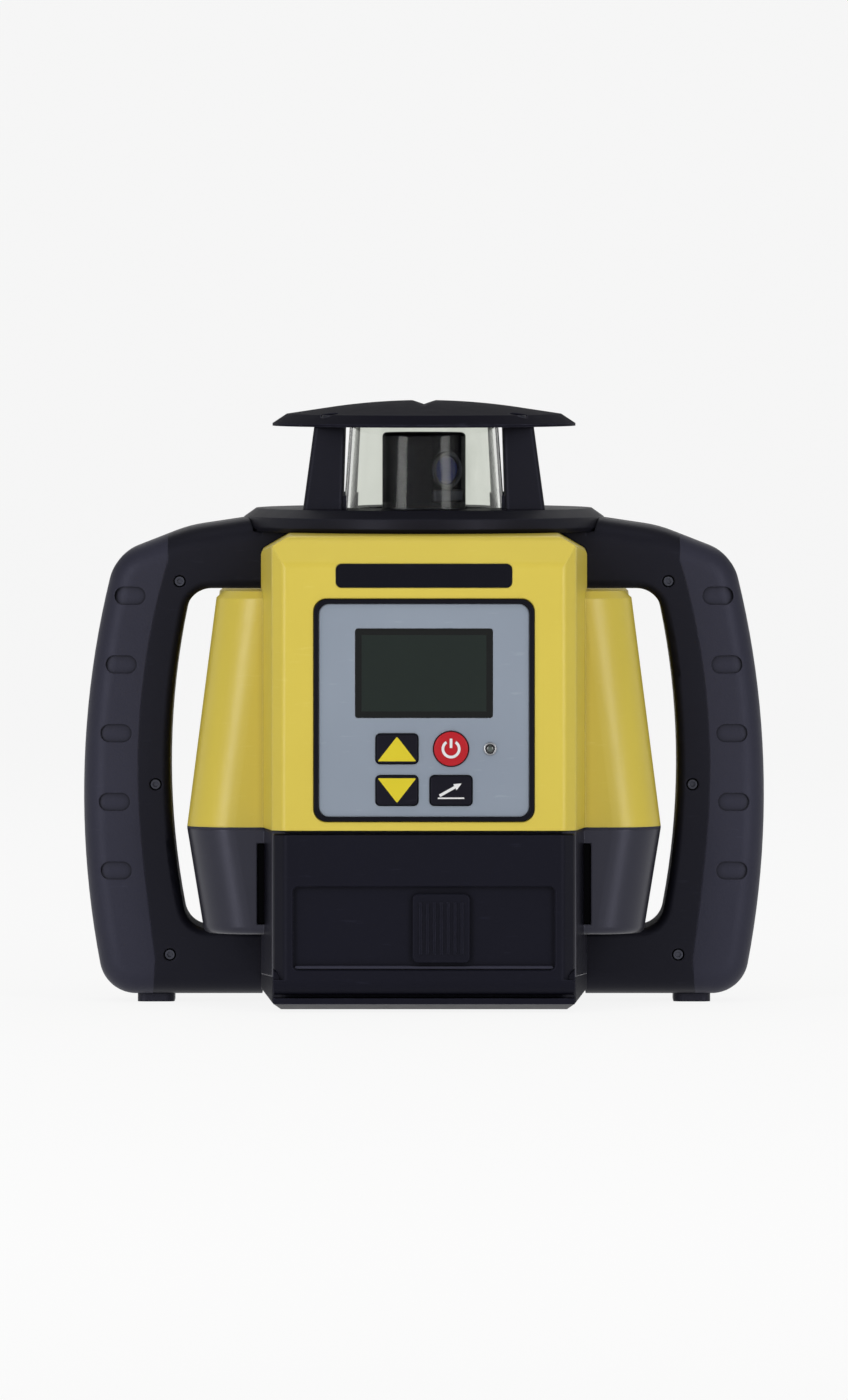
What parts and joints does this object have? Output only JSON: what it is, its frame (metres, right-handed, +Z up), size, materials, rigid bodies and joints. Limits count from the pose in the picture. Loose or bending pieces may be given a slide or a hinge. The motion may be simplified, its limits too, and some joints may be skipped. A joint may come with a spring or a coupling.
{
  "type": "rotary laser level",
  "caption": "self-levelling rotary laser with a glazed beam head, a display and keys in front, a battery door and two side carry handles",
  "frame": {"origin": "the tripod thread's axis at the foot of the base", "axes": "+Z up, the control panel faces -Y, +X to the right seen from the front"},
  "size_m": [0.2398, 0.1926, 0.2119],
  "materials": {
    "yellow_plastic": "satin",
    "black_plastic": "matte",
    "grip_rubber": "matte",
    "grey_fascia": "matte",
    "display_glass": "gloss",
    "dark_key": "satin",
    "red_key": "satin",
    "lamp_lens": "gloss",
    "circuit_board": "satin",
    "steel": "brushed",
    "brass": "machined",
    "alloy": "machined",
    "black_alloy": "anodised",
    "clear_glass": "polished"
  },
  "bodies": {
    "housing": {"base_plate": "black_plastic", "base_screws": "steel", "battery_contacts": "brass", "battery_pack": "black_plastic", "battery_tray": "black_plastic", "board_standoffs": "steel", "brow_strip": "black_plastic", "collimator_lens": "clear_glass", "deck_columns": "steel", "deck_plate": "alloy", "display_module": "display_glass", "display_window": "display_glass", "door_hinge_pin": "steel", "gimbal_yokes": "alloy", "glass_seals": "grip_rubber", "handle_screws": "steel", "housing_gasket": "grip_rubber", "keypad_mat": "grip_rubber", "lantern_glass": "clear_glass", "laser_mount": "alloy", "laser_tube": "alloy", "left_grip": "grip_rubber", "left_handle_back": "black_plastic", "left_handle_front": "black_plastic", "lower_housing": "black_plastic", "main_board": "circuit_board", "panel_bezel": "black_plastic", "panel_board": "circuit_board", "panel_fascia": "grey_fascia", "right_grip": "grip_rubber", "right_handle_back": "black_plastic", "right_handle_front": "black_plastic", "roof": "black_plastic", "roof_posts": "black_plastic", "roof_screws": "steel", "rubber_feet": "grip_rubber", "status_lamp": "lamp_lens", "top_cover": "black_plastic", "tripod_insert": "brass", "upper_housing": "yellow_plastic"},
    "door": {"battery_door": "black_plastic"},
    "latch": {"door_latch": "black_plastic"},
    "up_key": {"key_up": "dark_key"},
    "down_key": {"key_down": "dark_key"},
    "grade_key": {"key_grade": "dark_key"},
    "power_key": {"key_power": "red_key"},
    "gimbal": {"gimbal_ring": "alloy", "yoke_pins": "steel"},
    "sleeve": {"spindle_sleeve": "alloy", "sleeve_pins": "steel", "spindle_bearings": "steel", "drive_motor": "steel", "drive_belt": "grip_rubber"},
    "rotor": {"spindle": "alloy", "spindle_pulley": "alloy", "rotor_head": "black_alloy", "beam_window": "clear_glass", "pentaprism": "clear_glass"},
    "motor_drive": {"motor_shaft": "steel", "motor_pulley": "alloy"}
  },
  "joints": [
    {"name": "gimbal_tilt", "type": "hinge", "parent": "housing", "child": "gimbal", "pos_m": [0, 0, 0.134], "axis": [1, 0, 0], "range_deg": [-5, 5]},
    {"name": "sleeve_tilt", "type": "hinge", "parent": "gimbal", "child": "sleeve", "pos_m": [0, 0, 0.134], "axis": [0, 1, 0], "range_deg": [-5, 5]},
    {"name": "rotor_spin", "type": "hinge", "parent": "sleeve", "child": "rotor", "pos_m": [0, 0, 0.134], "axis": [0, 0, 1], "continuous": true},
    {"name": "motor_spin", "type": "hinge", "parent": "sleeve", "child": "motor_drive", "pos_m": [0.0285, 0, 0.114], "axis": [0, 0, 1], "continuous": true},
    {"name": "door_hinge", "type": "hinge", "parent": "housing", "child": "door", "pos_m": [0, -0.09, 0.0115], "axis": [1, 0, 0], "range_deg": [0, 90]},
    {"name": "latch_slide", "type": "slide", "parent": "door", "child": "latch", "axis": [1, 0, 0], "range_m": [-0.005, 0]},
    {"name": "up_press", "type": "slide", "parent": "housing", "child": "up_key", "axis": [0, 1, 0], "range_m": [0, 0.0008], "stiffness_N_per_m": 400},
    {"name": "down_press", "type": "slide", "parent": "housing", "child": "down_key", "axis": [0, 1, 0], "range_m": [0, 0.0008], "stiffness_N_per_m": 400},
    {"name": "grade_press", "type": "slide", "parent": "housing", "child": "grade_key", "axis": [0, 1, 0], "range_m": [0, 0.0008], "stiffness_N_per_m": 400},
    {"name": "power_press", "type": "slide", "parent": "housing", "child": "power_key", "axis": [0, 1, 0], "range_m": [0, 0.0008], "stiffness_N_per_m": 400}
  ],
  "couplings": [
    {"joint": "motor_spin", "follows": "rotor_spin", "ratio": 2.4}
  ]
}
